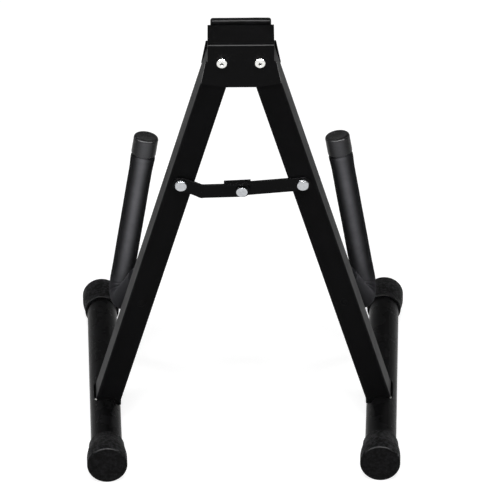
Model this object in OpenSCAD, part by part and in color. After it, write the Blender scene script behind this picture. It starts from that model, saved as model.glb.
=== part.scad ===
// Folding A-frame guitar stand.
// +Y is the side where the guitar stands, -Y the back, +Z up, Z = 0 the floor.
// Each side's leg, foot and padded arm fold inwards together about one pivot in the head.

/* [Feet] */
// Overall length of a foot, over both boots
foot_len = 276; // [240:1:320]
// Outer diameter of the foot tube
foot_d = 25; // [22:0.5:28]
// Wall of the foot tube
foot_wall = 1.5; // [1:0.1:2.5]
// Distance between the two foot tubes, where the legs stand on them
stance = 226.8; // [190:0.4:260]
// Largest diameter of a rubber boot
boot_d = 32.2; // [30:0.1:36]
// Diameter of a boot at its mouth
boot_mouth_d = 28.7; // [28:0.1:29.8]
// Length of a boot
boot_len = 29; // [24:0.5:40]
// Length of a boot's thick end, before it tapers
boot_thick_len = 11; // [6:0.5:14]
// Thickness of a boot's closed end
boot_cap = 4; // [2:0.5:6]
// Rounding of a boot's end edge
boot_edge_r = 1.5; // [0.5:0.1:2.5]

/* [Legs] */
// Width of the leg profile, seen from behind
leg_w = 20; // [18:0.5:24]
// Depth of the leg profile, from back to front
leg_d = 25; // [22:0.5:30]
// Wall of the leg profile
leg_wall = 1.5; // [1:0.1:2.5]
// Corner radius of the leg profile
leg_corner_r = 1.8; // [1.6:0.1:3]
// Angle that the legs lean back
lean = 10; // [6:0.5:14]
// Place of the legs along the feet, from the feet's middle
leg_y = -39.6; // [-60:0.5:-20]
// Height of the pivots above the foot tubes' axes, along the leaning plane
pivot_rise = 353.5; // [320:0.5:400]
// How far a leg's top end stands above its pivot
leg_top = 11; // [9.5:0.1:11.5]
// Width of the weld round a leg's foot
weld_w = 1.6; // [1:0.1:2.5]

/* [Head] */
// Half the distance between the two pivots
pivot_x = 14.5; // [13.8:0.1:18]
// Thickness of the bracket's sheet
sheet = 1.5; // [1.2:0.1:2.5]
// Gap between a leg and each cheek of the bracket
cheek_gap = 0.3; // [0.2:0.05:0.6]
// Height of the bracket's top above the pivots
head_top = 15.7; // [15.4:0.1:20]
// Width of the bracket's upper part
head_w = 50.6; // [49:0.2:56]
// Width of the bracket at its lower corners
head_low_w = 61.2; // [58:0.2:66]
// Drop of the bracket's outer lower corners below the pivots
head_corner_drop = 20.3; // [18:0.1:24]
// Drop of the bracket's lower edge at the middle, below the pivots
head_drop = 23.6; // [21:0.1:28]
// Step in the bracket's outline where the cheeks widen
head_step = 1.6; // [1:0.1:2.2]
// Outer radius of the bracket's two bends
bend_r = 2.2; // [1.8:0.1:3]
// Outer diameter of the pivot barrels that the legs turn on
barrel_d = 7; // [6.5:0.1:8]
// Diameter of a barrel's flat head
barrel_head_d = 11; // [10:0.5:13]
// Thickness of a barrel's flat head
barrel_head_t = 1.4; // [1:0.1:2]
// Diameter of the screws that close the barrels
screw_d = 4; // [3.5:0.1:4.5]
// Length of a pivot screw under its head
screw_len = 16; // [12:0.5:20]
// Diameter of a screw's pan head
screw_head_d = 8.7; // [8:0.1:10]
// Height of a screw's pan head
screw_head_h = 2.7; // [2:0.1:3.2]
// Length of the cross recess in a screw's head
recess_len = 4.4; // [3.5:0.1:5]
// Width of the cross recess's slots
recess_w = 1.2; // [0.8:0.1:1.5]
// Depth of the cross recess
recess_deep = 1.6; // [1:0.1:1.9]

/* [Head pad] */
// Width of the pad
pad_w = 46.4; // [40:0.2:48]
// Thickness of the pad
pad_t = 6; // [4:0.5:12]
// How far the pad stands above the bracket's top
pad_above = 2.4; // [0:0.1:6]
// Height of the pad
pad_h = 37; // [33.5:0.5:40]
// Corner radius of the pad's outline
pad_corner_r = 3; // [1:0.5:5]
// Room round a barrel's head in the pad's back
pad_room = 0.5; // [0.3:0.1:1]

/* [Brace] */
// Distance from a leg's pivot to its brace rivet, along the leg
brace_drop = 122; // [100:1:130]
// How far the middle rivet lies below the line of the outer ones
brace_sag = 4.5; // [3.5:0.1:5.5]
// Width of a brace link
link_w = 12.6; // [12:0.1:12.7]
// Thickness of a brace link
link_t = 1.5; // [1.2:0.1:2]
// Diameter of the links' round eyes on the legs
link_eye_d = 13.2; // [12.9:0.1:13.6]
// Diameter of the links' round ends at the middle rivet, and of the left link's corner
link_end_d = 13; // [12.8:0.1:13.4]
// Gap between the leg and the first link, and between the links
link_gap = 0.3; // [0.2:0.05:0.4]
// Distance from the left rivet to the start of the left link's step backwards
step_at = 7.2; // [7:0.1:9]
// Distance from the left rivet to the crank in the left link, where its step ends
crank_at = 16; // [14.5:0.5:20]
// How much lower the crank's corner lies than the middle rivet
crank_low = 0.9; // [0.5:0.1:1.2]
// Diameter of a rivet's shank
rivet_d = 5; // [4:0.1:5.5]
// Diameter of a rivet's domed head
rivet_head_d = 9.7; // [9:0.1:10.2]
// Height of a rivet's domed head
rivet_head_h = 2.7; // [2:0.1:3.5]
// Diameter of a rivet's formed tail
rivet_tail_d = 7; // [6.5:0.1:7.5]
// Height of a rivet's formed tail
rivet_tail_h = 1.5; // [1:0.1:2]
// How far the stop tab reaches past the middle rivet
tab_past = 13.9; // [10:0.1:16]
// How far the stop tab reaches back from the middle rivet
tab_back = 6.9; // [4:0.1:8]
// How far the stop tab stands out from the legs' faces
tab_depth = 6.2; // [5:0.1:8]
// Slope of the stop tab
tab_slope = 3; // [2:0.5:4]

/* [Arms] */
// Distance from a leg's pivot to its arm, along the leg
arm_drop = 247.6; // [235:0.5:260]
// Diameter of the arm's steel rod
rod_d = 8; // [6:0.5:9]
// Diameter of the rod's tenon through the leg's back wall
tenon_d = 5; // [4:0.5:5.5]
// How far the rod runs straight out of the leg's front, to its first corner
arm_stub = 10; // [8.5:0.5:14]
// How far forward the arm's elbow lies from its first corner
arm_reach = 70; // [55:1:95]
// Angle that the arm's lower part falls
arm_dip = 45; // [40:1:50]
// How far outwards the elbow lies from the first corner
arm_out = 23.6; // [14:0.2:28]
// Height of the arm's tip above the elbow's corner
arm_rise = 160; // [130:1:180]
// How far the tip leans back inwards
arm_in = 27.6; // [15:0.2:34]
// Bend radius at the rod's first corner
stub_bend_r = 9; // [8:0.5:10]
// Bend radius at the elbow
elbow_bend_r = 13; // [12:0.5:15]
// Diameter of the foam sleeve
foam_d = 19; // [16:0.5:22]
// Distance from the first corner to the foam's start
foam_start = 7; // [6:0.5:12]
// Diameter of the rubber cap on an arm's tip
cap_d = 20.2; // [18:0.1:22]
// Length of the cap
cap_len = 15.5; // [12:0.5:20]
// Thickness of the cap's closed end
cap_end = 3.5; // [2:0.5:5]
// Rounding of the cap's end edge
cap_edge_r = 1.6; // [0.5:0.1:2.5]
// Width of the weld round a rod, at the leg
rod_weld_w = 2; // [1:0.1:3]

/* [Fits] */
// Radial clearance of every pivot and slip fit
fit = 0.05; // [0.02:0.01:0.08]
// Radial gap between a rod and its foam sleeve
foam_fit = 0.1; // [0.05:0.05:0.2]
// Gap where a soft or capped piece meets its seat
seat = 0.05; // [0.02:0.01:0.1]
// Gap between the boots when the stand is folded
fold_gap = 0.8; // [0.4:0.1:3]
// Gap between the stop tab and the left link's top edge
tab_gap = 0.15; // [0.1:0.05:0.3]

/* [Hidden] */
$fn = 48;
epsilon = 0.01;
overcut = 1;
sides = 24;
bend_steps = 8;
boot_steps = 8;
// Part of a rivet's or screw's head height that is its straight rim
rim_part = 0.25;
// How far in a bead's hollow face stands, as part of its width
hollow_part = 0.33;
black_steel = "#1c1c1e";
black_rubber = "#232325";
black_foam = "#2b2b2d";
bright_zinc = "#c9c9c4";

foot_z = boot_d / 2;
foot_x = stance / 2;
leg_len = norm([foot_x - pivot_x, pivot_rise]);
leg_deg = atan2(foot_x - pivot_x, pivot_rise);
fold_deg = leg_deg - asin((boot_d / 2 + fold_gap / 2 - pivot_x) / leg_len);
splay = atan(sin(lean) * tan(fold_deg));
leg_from_middle = -leg_y / cos(splay);
cheek_in = leg_d / 2 + cheek_gap;
cheek_out = cheek_in + sheet;
pad_top = head_top + pad_above;
rivet_x = pivot_x + brace_drop * sin(leg_deg);
rivet_z = pivot_rise - brace_drop * cos(leg_deg);
middle_z = rivet_z - brace_sag;
link_back = -leg_d / 2 - link_gap;
lap_back = link_back - link_t - link_gap;
tab_under = link_w / 2 - crank_low * tab_past / (rivet_x - crank_at) + tab_gap;

function unit(v) = v / norm(v);
function plane_point(p) = [p.x, leg_y + p.y * cos(lean) - p.z * sin(lean),
    foot_z + p.y * sin(lean) + p.z * cos(lean)];
arm_x = pivot_x + arm_drop * sin(leg_deg);
arm_z = pivot_rise - arm_drop * cos(leg_deg);
rod_start = plane_point([arm_x, -leg_d / 2 + leg_wall, arm_z]);
rod_corner = plane_point([arm_x, leg_d / 2 + arm_stub, arm_z]);
elbow = rod_corner + [arm_out, arm_reach, -arm_reach * tan(arm_dip)];
arm_tip = elbow + [-arm_in, 0, arm_rise];
arm_top_dir = unit(arm_tip - elbow);
foam_from = rod_corner + unit(elbow - rod_corner) * foam_start;
foam_to = arm_tip - arm_top_dir * (cap_len + seat);
rod_to = arm_tip - arm_top_dir * (cap_end + seat);

module left() { mirror([1, 0, 0]) children(); }

// The leaning plane of the legs: x across, y forwards through their depth, z up along it.
module leg_plane() { translate([0, leg_y, foot_z]) rotate([lean, 0, 0]) children(); }

// The right leg's own axis, from its pivot, z up along the leg.
module leg_axis() { leg_plane() translate([pivot_x, 0, pivot_rise]) rotate([0, -leg_deg, 0]) children(); }

// The right foot's axis, from the point under the leg, z forwards.
module foot_axis() {
    translate([foot_x, leg_y, foot_z]) rotate([0, 0, -splay]) rotate([-90, 0, 0]) children();
}

// A cylinder through the depth of the legs, between two places along it.
module through(d, from, to) { translate([0, from, 0]) rotate([-90, 0, 0]) cylinder(d = d, h = to - from); }

// A flat outline in the leaning plane, as a plate between two depths.
module plate(from, to) { translate([0, to, 0]) rotate([90, 0, 0]) linear_extrude(to - from) children(); }

module rounded_rect(w, h, r) {
    square([w - 2 * r, h], center = true);
    square([w, h - 2 * r], center = true);
    for (sx = [-1, 1], sy = [-1, 1]) translate([sx * (w / 2 - r), sy * (h / 2 - r)]) circle(r);
}

module strip(a, b, w) {
    translate(a) rotate(atan2(b.y - a.y, b.x - a.x)) translate([0, -w / 2]) square([norm(b - a), w]);
}

// A place with its own axes: x along u, y along v, z across both.
module placed(p, u, v) {
    w = cross(u, v);
    multmatrix([[u.x, v.x, w.x, p.x], [u.y, v.y, w.y, p.y], [u.z, v.z, w.z, p.z], [0, 0, 0, 1]]) children();
}

// Points of a bend of radius r at corner c, on the way from a to b.
function bend_points(a, c, b, r, steps) = let (
    half = acos(unit(a - c) * unit(b - c)) / 2,
    centre = c + unit(unit(a - c) + unit(b - c)) * r / sin(half),
    out = unit(c + unit(a - c) * r / tan(half) - centre),
    along = unit(c - a))
    [for (i = [0 : steps]) let (turn = i * (180 - 2 * half) / steps)
        centre + r * (cos(turn) * out + sin(turn) * along)];

function tangent(path, i) = let (last = len(path) - 1)
    unit(unit(path[min(i + 1, last)] - path[min(i, last - 1)]) + unit(path[max(i, 1)] - path[max(i - 1, 0)]));

// A direction square to the path at each point, carried along without twist.
function normals(path, i = 0, before = [0, 0, 1]) = i == len(path) ? [] :
    let (t = tangent(path, i), n = unit(before - t * (before * t))) concat([n], normals(path, i + 1, n));

function ring(p, t, n, r) = [for (k = [0 : sides - 1])
    let (a = 360 * k / sides) p + r * (cos(a) * n + sin(a) * cross(t, n))];

function rings(path, r) = let (n = normals(path))
    [for (i = [0 : len(path) - 1]) ring(path[i], tangent(path, i), n[i], r)];

function reversed(list) = [for (i = [len(list) - 1 : -1 : 0]) list[i]];

// A skin over a row of rings. A closed row comes back to its first ring and has no ends.
module skin(row, closed) {
    count = len(row);
    last = closed ? count - 1 : count - 2;
    walls = [for (i = [0 : last], k = [0 : sides - 1])
        let (a = i * sides, b = (i + 1) % count * sides, next = (k + 1) % sides)
            each [[a + k, b + k, b + next], [a + k, b + next, a + next]]];
    ends = closed ? [] : [[for (k = [0 : sides - 1]) k],
        [for (k = [sides - 1 : -1 : 0]) (count - 1) * sides + k]];
    polyhedron(points = [for (loop = row) each loop], faces = concat(walls, ends));
}

module foot_tube() {
    color(black_steel) foot_axis() {
        from = leg_from_middle - foot_len / 2 + boot_cap + seat;
        to = leg_from_middle + foot_len / 2 - boot_cap - seat;
        translate([0, 0, from]) difference() {
            cylinder(d = foot_d, h = to - from);
            translate([0, 0, -overcut]) cylinder(d = foot_d - 2 * foot_wall, h = to - from + 2 * overcut);
        }
    }
}

// A boot's side: round edge, thick end, then an easy taper to the mouth.
function boot_side() = [for (i = [0 : boot_steps]) let (t = i / boot_steps)
    [boot_mouth_d / 2 + (boot_d - boot_mouth_d) / 2 * (1 + cos(180 * t)) / 2,
     boot_thick_len + (boot_len - boot_thick_len) * t]];

module boot() {
    color(black_rubber) difference() {
        rotate_extrude() {
            polygon(concat([[0, 0], [boot_d / 2 - boot_edge_r, 0], [boot_d / 2, boot_edge_r]],
                boot_side(), [[0, boot_len]]));
            translate([boot_d / 2 - boot_edge_r, boot_edge_r]) intersection() {
                circle(boot_edge_r);
                translate([0, -boot_edge_r]) square(boot_edge_r);
            }
        }
        translate([0, 0, boot_cap]) cylinder(d = foot_d + 2 * fit, h = boot_len);
    }
}

module rear_boot() { foot_axis() translate([0, 0, leg_from_middle - foot_len / 2]) boot(); }

module front_boot() {
    foot_axis() translate([0, 0, leg_from_middle + foot_len / 2]) mirror([0, 0, 1]) boot();
}

// The solid bar that a leg's bottom end is coped to.
module cope(d) { foot_axis() translate([0, 0, -foot_len / 2]) cylinder(d = d, h = foot_len); }

module leg_tube() {
    color(black_steel) difference() {
        leg_axis() difference() {
            translate([0, 0, -leg_len]) linear_extrude(leg_len + leg_top) difference() {
                rounded_rect(leg_w, leg_d, leg_corner_r);
                square([leg_w - 2 * leg_wall, leg_d - 2 * leg_wall], center = true);
            }
            through(barrel_d + 2 * fit, -leg_d, leg_d);
            translate([0, 0, -brace_drop]) through(rivet_d + 2 * fit, -leg_d, 0);
            translate([0, 0, -arm_drop]) {
                through(tenon_d + 2 * fit, -leg_d, 0);
                through(rod_d + 2 * fit, 0, leg_d);
            }
        }
        cope(foot_d + 2 * fit);
    }
}

// The bead where a leg is welded down on its foot tube.
module foot_weld() {
    color(black_steel) difference() {
        intersection() {
            cope(foot_d + 2 * weld_w);
            leg_axis() translate([0, 0, -leg_len]) linear_extrude(leg_w)
                rounded_rect(leg_w + 2 * weld_w, leg_d + 2 * weld_w, leg_corner_r + weld_w);
        }
        cope(foot_d + 2 * fit);
        leg_axis() translate([0, 0, -leg_len]) linear_extrude(leg_len)
            rounded_rect(leg_w + 2 * fit, leg_d + 2 * fit, leg_corner_r + fit);
    }
}

module cheek_outline() {
    half_w = head_w / 2;
    inner_x = pivot_x + head_drop * tan(leg_deg) - leg_w / 2 / cos(leg_deg);
    polygon([[half_w, head_top], [half_w, 0], [half_w + head_step, 0],
        [head_low_w / 2, -head_corner_drop], [inner_x, -head_drop], [-inner_x, -head_drop],
        [-head_low_w / 2, -head_corner_drop], [-half_w - head_step, 0], [-half_w, 0],
        [-half_w, head_top]]);
}

// The bent sheet's section: two cheeks and the top between them, seen from the side.
module bent_section() {
    inner_r = bend_r - sheet;
    below = head_drop + overcut;
    difference() {
        union() {
            translate([-cheek_out, -head_drop]) square([2 * cheek_out, head_drop + head_top - bend_r]);
            translate([-cheek_out + bend_r, 0]) square([2 * (cheek_out - bend_r), head_top]);
            for (s = [-1, 1]) translate([s * (cheek_out - bend_r), head_top - bend_r]) circle(bend_r);
        }
        translate([-cheek_in, -below]) square([2 * cheek_in, below + head_top - bend_r]);
        translate([-cheek_in + inner_r, 0]) square([2 * (cheek_in - inner_r), head_top - sheet]);
        for (s = [-1, 1]) translate([s * (cheek_out - bend_r), head_top - bend_r]) circle(inner_r);
    }
}

module head_bracket() {
    color(black_steel) leg_plane() translate([0, 0, pivot_rise]) difference() {
        intersection() {
            rotate([90, 0, 90]) translate([0, 0, -head_low_w]) linear_extrude(2 * head_low_w) bent_section();
            plate(-leg_d, leg_d) cheek_outline();
        }
        for (s = [-1, 1]) translate([s * pivot_x, 0, 0]) through(barrel_d + 2 * fit, -leg_d, leg_d);
    }
}

module head_pad() {
    color(black_rubber) leg_plane() translate([0, 0, pivot_rise]) difference() {
        translate([0, cheek_out + seat, pad_top - pad_h / 2])
            plate(0, pad_t) rounded_rect(pad_w, pad_h, pad_corner_r);
        for (s = [-1, 1]) translate([s * pivot_x, 0, 0])
            through(barrel_head_d + 2 * pad_room, 0, cheek_out + barrel_head_t + 2 * seat + fit);
    }
}

// Dome of a rivet or screw: a round cap with a short straight rim, z outwards.
module dome(d, h) {
    rim = h * rim_part;
    rise = h - rim;
    ball_r = (d * d / 4 + rise * rise) / (2 * rise);
    cylinder(d = d, h = rim);
    translate([0, 0, rim]) intersection() {
        translate([0, 0, rise - ball_r]) sphere(ball_r);
        cylinder(d = d, h = h);
    }
}

module pivot_screw() {
    difference() {
        translate([0, 0, seat]) dome(screw_head_d, screw_head_h);
        translate([0, 0, screw_head_h + seat - recess_deep]) linear_extrude(screw_head_h) {
            square([recess_len, recess_w], center = true);
            square([recess_w, recess_len], center = true);
        }
    }
    translate([0, 0, seat - screw_len]) cylinder(d = screw_d, h = screw_len);
}

module pivot_screws() {
    color(bright_zinc) leg_plane() for (s = [-1, 1])
        translate([s * pivot_x, -cheek_out, pivot_rise]) rotate([90, 0, 0]) pivot_screw();
}

module pivot_barrels() {
    color(bright_zinc) leg_plane() for (s = [-1, 1]) translate([s * pivot_x, 0, pivot_rise]) difference() {
        union() {
            through(barrel_d, -cheek_out + seat, cheek_out + seat);
            through(barrel_head_d, cheek_out + seat, cheek_out + seat + barrel_head_t);
        }
        through(screw_d + 2 * fit, -cheek_out - overcut, -cheek_out + screw_len + overcut);
    }
}

module arm_rod() {
    out = unit(rod_corner - rod_start);
    path = concat([rod_start + out * fit],
        bend_points(rod_start, rod_corner, elbow, stub_bend_r, bend_steps),
        bend_points(rod_corner, elbow, arm_tip, elbow_bend_r, bend_steps), [rod_to]);
    color(black_steel) {
        skin(rings(path, rod_d / 2), closed = false);
        leg_axis() translate([0, 0, -arm_drop]) through(tenon_d, -leg_d / 2 + seat, -leg_d / 2 + 2 * leg_wall);
    }
}

// The bead where the rod leaves the leg's front.
module arm_weld() {
    color(black_steel) leg_axis() translate([0, leg_d / 2 + fit, -arm_drop]) rotate([-90, 0, 0])
        rotate_extrude() translate([rod_d / 2 + fit, 0])
            polygon([[0, 0], [rod_weld_w, 0], [rod_weld_w * hollow_part, rod_weld_w * hollow_part],
                [0, rod_weld_w]]);
}

module arm_foam() {
    path = concat([foam_from], bend_points(rod_corner, elbow, arm_tip, elbow_bend_r, bend_steps), [foam_to]);
    color(black_foam)
        skin(concat(rings(path, foam_d / 2), reversed(rings(path, rod_d / 2 + foam_fit))), closed = true);
}

module arm_cap() {
    u = unit(cross(arm_top_dir, [1, 0, 0]));
    color(black_rubber) placed(arm_tip, u, -cross(arm_top_dir, u)) difference() {
        rotate_extrude() {
            polygon([[0, 0], [cap_d / 2 - cap_edge_r, 0], [cap_d / 2, cap_edge_r], [cap_d / 2, cap_len],
                [0, cap_len]]);
            translate([cap_d / 2 - cap_edge_r, cap_edge_r]) intersection() {
                circle(cap_edge_r);
                translate([0, -cap_edge_r]) square(cap_edge_r);
            }
        }
        translate([0, 0, cap_end]) cylinder(d = rod_d + 2 * fit, h = cap_len);
    }
}

// A rivet standing in the leaning plane: its head behind, its shank and tail towards the front.
module rivet(head_at, shank_to, tail_from, tail_to) {
    translate([0, head_at, 0]) rotate([90, 0, 0]) dome(rivet_head_d, rivet_head_h);
    through(rivet_d, head_at, shank_to);
    if (tail_to > tail_from) through(rivet_tail_d, tail_from, tail_to);
}

// The left leg's rivet, which holds the left link on the leg.
module left_leg_rivet() {
    head_at = link_back - link_t - fit;
    inside = -leg_d / 2 + leg_wall + fit;
    color(bright_zinc) leg_plane() translate([-rivet_x, 0, rivet_z])
        rivet(head_at, inside, inside, inside + rivet_tail_h);
}

// The right pivot is open: the right leg keeps the rivet's tail, the right link its head.
module right_leg_rivet() {
    inside = -leg_d / 2 + leg_wall + fit;
    color(bright_zinc) leg_plane() translate([rivet_x, 0, rivet_z]) {
        through(rivet_d, -leg_d / 2, inside);
        through(rivet_tail_d, inside, inside + rivet_tail_h);
    }
}

module right_link_rivet() {
    color(bright_zinc) leg_plane() translate([rivet_x, 0, rivet_z])
        rivet(link_back - link_t - fit, link_back, 0, 0);
}

module middle_rivet() {
    tail_at = link_back + fit;
    color(bright_zinc) leg_plane() translate([0, 0, middle_z])
        rivet(lap_back - link_t - fit, tail_at, tail_at, tail_at + rivet_tail_h);
}

// The left link lies against its leg, steps back at the crank and laps over the right link.
module left_link() {
    outer = [-rivet_x, rivet_z];
    crank = [-rivet_x + crank_at, middle_z - crank_low];
    middle = [0, middle_z];
    lap = link_back - lap_back;
    step_from = -rivet_x + step_at;
    step_to = -rivet_x + crank_at;
    color(black_steel) leg_plane() difference() {
        intersection() {
            plate(lap_back - link_t, link_back) {
                translate(outer) circle(d = link_eye_d);
                translate(crank) circle(d = link_end_d);
                translate(middle) circle(d = link_end_d);
                strip(outer, crank, link_w);
                strip(crank, middle, link_w);
            }
            translate([0, link_back, 0]) linear_extrude(pivot_rise) polygon([
                [-2 * rivet_x, 0], [step_from, 0], [step_to, -lap], [rivet_x, -lap],
                [rivet_x, -lap - link_t], [step_to - epsilon, -lap - link_t],
                [step_from - epsilon, -link_t], [-2 * rivet_x, -link_t]]);
        }
        translate([outer.x, 0, outer.y]) through(rivet_d + 2 * fit, -leg_d, 0);
        translate([middle.x, 0, middle.y]) through(rivet_d + 2 * fit, -leg_d, 0);
    }
}

// The right link is straight. Its stop tab folds back over the left link's top edge.
module right_link() {
    outer = [rivet_x, rivet_z];
    middle = [0, middle_z];
    tab_len = tab_past + tab_back;
    color(black_steel) leg_plane() difference() {
        union() {
            plate(link_back - link_t, link_back) {
                translate(outer) circle(d = link_eye_d);
                translate(middle) circle(d = link_end_d);
                strip(outer, middle, link_w);
                translate([-tab_past, middle_z + tab_under]) rotate(tab_slope) {
                    square([tab_len, link_t]);
                    translate([0, -tab_under / 2]) square([tab_len, tab_under / 2]);
                }
            }
            plate(-leg_d / 2 - tab_depth, link_back)
                translate([-tab_past, middle_z + tab_under]) rotate(tab_slope) square([tab_len, link_t]);
        }
        translate([outer.x, 0, outer.y]) through(rivet_d + 2 * fit, -leg_d, 0);
        translate([middle.x, 0, middle.y]) through(rivet_d + 2 * fit, -leg_d, 0);
    }
}

head_bracket();
head_pad();
pivot_screws();
pivot_barrels();
left() leg_tube();  // left_leg_tube
left() foot_tube();  // left_foot_tube
left() foot_weld();  // left_foot_weld
left() rear_boot();  // left_rear_boot
left() front_boot();  // left_front_boot
left() arm_rod();  // left_arm_rod
left() arm_weld();  // left_arm_weld
left() arm_foam();  // left_arm_foam
left() arm_cap();  // left_arm_cap
left_leg_rivet();
leg_tube();  // right_leg_tube
foot_tube();  // right_foot_tube
foot_weld();  // right_foot_weld
rear_boot();  // right_rear_boot
front_boot();  // right_front_boot
arm_rod();  // right_arm_rod
arm_weld();  // right_arm_weld
arm_foam();  // right_arm_foam
arm_cap();  // right_arm_cap
right_leg_rivet();
left_link();
middle_rivet();
right_link();
right_link_rivet();
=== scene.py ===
"""Looks of a folding A-frame guitar stand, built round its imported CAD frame.

Every piece is in metres in the frame's own axes: +X to the right seen from behind, +Y towards
the side where the guitar stands, +Z up, the floor at zero. Sizes in the classes are millimetres,
as the part's source has them.
"""

import logging
import math
from collections.abc import Callable, Iterator, Sequence
from contextlib import contextmanager
from dataclasses import dataclass, field
from enum import Enum
from typing import ClassVar

import bmesh
import bpy
from mathutils import Matrix, Vector, noise


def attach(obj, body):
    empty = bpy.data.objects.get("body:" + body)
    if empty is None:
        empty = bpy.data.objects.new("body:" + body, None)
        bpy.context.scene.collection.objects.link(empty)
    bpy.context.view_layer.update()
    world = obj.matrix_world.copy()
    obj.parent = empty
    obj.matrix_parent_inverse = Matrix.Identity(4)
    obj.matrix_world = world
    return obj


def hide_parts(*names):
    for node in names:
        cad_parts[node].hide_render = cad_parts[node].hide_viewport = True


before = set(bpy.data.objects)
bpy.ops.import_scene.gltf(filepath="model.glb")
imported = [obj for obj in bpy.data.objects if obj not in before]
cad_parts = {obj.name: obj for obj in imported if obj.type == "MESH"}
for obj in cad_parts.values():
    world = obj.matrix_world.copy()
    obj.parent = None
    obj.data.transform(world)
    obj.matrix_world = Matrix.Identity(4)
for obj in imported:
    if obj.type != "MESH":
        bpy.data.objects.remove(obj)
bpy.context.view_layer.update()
MM = 0.001
# The mesh attribute that says how deep in a screw's recess a point lies, from zero to one.
# The zinc is painted darker there, as dirt and painted shade.
RECESS = "recess_grime"
# Length that a swept skin's UV gives to one turn round it.
ROUND_MM = 60.0
# Where most of a noise's values lie.
NOISE_LOW, NOISE_HIGH = 0.3, 0.7
# Room between a scene piece and the CAD piece that it sits on, in millimetres.
FIT = 0.05
log = logging.getLogger("guitar_stand")

Pair = tuple[float, float]
Triple = tuple[float, float, float]
Piece = bpy.types.Object
Material = bpy.types.Material
Socket = bpy.types.NodeSocket
Tree = bpy.types.NodeTree
Settings = dict[str | int, object]
Links = dict[str | int, Socket]


class Side(Enum):
    """Which of the two mirrored sides a piece belongs to, seen from behind."""

    LEFT = -1
    RIGHT = 1

    @property
    def word(self) -> str:
        """The word that starts the side's node and body names."""
        return self.name.lower()


# Shaders


def linear(hex_colour: str) -> tuple[float, ...]:
    """Turns an sRGB hex colour into Blender's linear values.

    Args:
        hex_colour: Colour as "#rrggbb".

    Returns:
        Red, green, blue and an alpha of one.
    """
    parts = [int(hex_colour[i : i + 2], 16) / 255 for i in (1, 3, 5)]
    red, green, blue = (c / 12.92 if c <= 0.04045 else ((c + 0.055) / 1.055) ** 2.4 for c in parts)
    return red, green, blue, 1.0


def per_metre(size_mm: float) -> float:
    """Scale of a pattern on coordinates in metres whose features are size_mm apart."""
    return 1.0 / (size_mm * MM)


def add_node(
    tree: Tree, kind: str, settings: Settings | None = None, links: Links | None = None
) -> bpy.types.bpy_prop_collection:
    """Adds a shader node with its settings and links.

    Args:
        tree: Node tree that gets the node.
        kind: Blender's name of the node type, after its "ShaderNode".
        settings: Values of the node's own properties, or of its inputs by name or index.
        links: Sockets of other nodes that feed this node's inputs, by name or index.

    Returns:
        The new node's outputs.
    """
    node = tree.nodes.new("ShaderNode" + kind)
    for name, value in (settings or {}).items():
        if isinstance(name, str) and hasattr(node, name):
            setattr(node, name, value)
        else:
            node.inputs[name].default_value = value
    for name, socket in (links or {}).items():
        tree.links.new(socket, node.inputs[name])
    return node.outputs


def cleared(owner: Material | bpy.types.World) -> Tree:
    """Gives a material or a world an empty node tree.

    Args:
        owner: The material or world.

    Returns:
        Its tree.
    """
    owner.use_nodes = True
    owner.node_tree.nodes.clear()
    return owner.node_tree


@dataclass
class Skin:
    """A finish's patterns, ready for its shader.

    A layer is a colour over the finish's own, with the mask that says where it shows. A relief
    is a strength, a depth in millimetres and a height. Values and links are the shader's own.
    """

    layers: list[tuple[str | Socket, Socket]]
    reliefs: list[tuple[float, float, Socket]]
    values: Settings
    links: Links = field(default_factory=dict)


@dataclass(frozen=True)
class Finish:
    """A finish with a broad and a fine noise pattern, which each kind lays out in its own way.

    BROAD and FINE are the two noises' detail and roughness. SWING is how far the finish's
    roughness goes below and above its value.
    """

    name: str
    colour: str
    roughness: float
    broad_mm: float
    fine_mm: float
    BROAD: ClassVar[Pair]
    FINE: ClassVar[Pair]
    SWING: ClassVar[Pair]

    def skin(self, tree: Tree, place: Links, broad: Socket, fine: Socket) -> Skin:
        """Lays the patterns out; each kind of finish has its own."""
        raise NotImplementedError

    def dulled(self, tree: Tree, pattern: Socket) -> Socket:
        """Swings the roughness with a pattern.

        Args:
            tree: The material's node tree.
            pattern: The noise that it follows.

        Returns:
            The roughness.
        """
        below, above = self.SWING
        low, high = self.roughness - below, self.roughness + above
        span = {"From Min": NOISE_LOW, "From Max": NOISE_HIGH, "To Min": low, "To Max": high}
        return add_node(tree, "MapRange", span, {"Value": pattern})["Result"]

    def build(self) -> Material:
        """Makes the material: colour over colour, relief on relief, then the shader.

        Returns:
            The new material.
        """
        material = bpy.data.materials.new(self.name)
        tree = cleared(material)
        place = add_node(tree, "TexCoord")
        broad, fine = (
            add_node(
                tree,
                "TexNoise",
                {"Scale": per_metre(size), "Detail": detail, "Roughness": rough},
                {"Vector": place["Object"]},
            )["Fac"]
            for size, (detail, rough) in ((self.broad_mm, self.BROAD), (self.fine_mm, self.FINE))
        )
        skin = self.skin(tree, place, broad, fine)
        under: Links = {}
        for top, mask in skin.layers:
            tones: Settings = {"data_type": "RGBA", 6: linear(self.colour)}
            joins: Links = {0: mask, **under}
            if isinstance(top, str):
                tones[7] = linear(top)
            else:
                joins[7] = top
            under = {6: add_node(tree, "Mix", tones, joins)[2]}
        relief: Links = {}
        for strength, deep_mm, height in skin.reliefs:
            depth = {"Strength": strength, "Distance": deep_mm * MM}
            bump = add_node(tree, "Bump", depth, {"Height": height, **relief})
            relief = {"Normal": bump["Normal"]}
        links = {"Base Color": under[6], **relief, **skin.links}
        shader = add_node(tree, "BsdfPrincipled", skin.values, links)["BSDF"]
        add_node(tree, "OutputMaterial", links={"Surface": shader})
        return material


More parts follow.
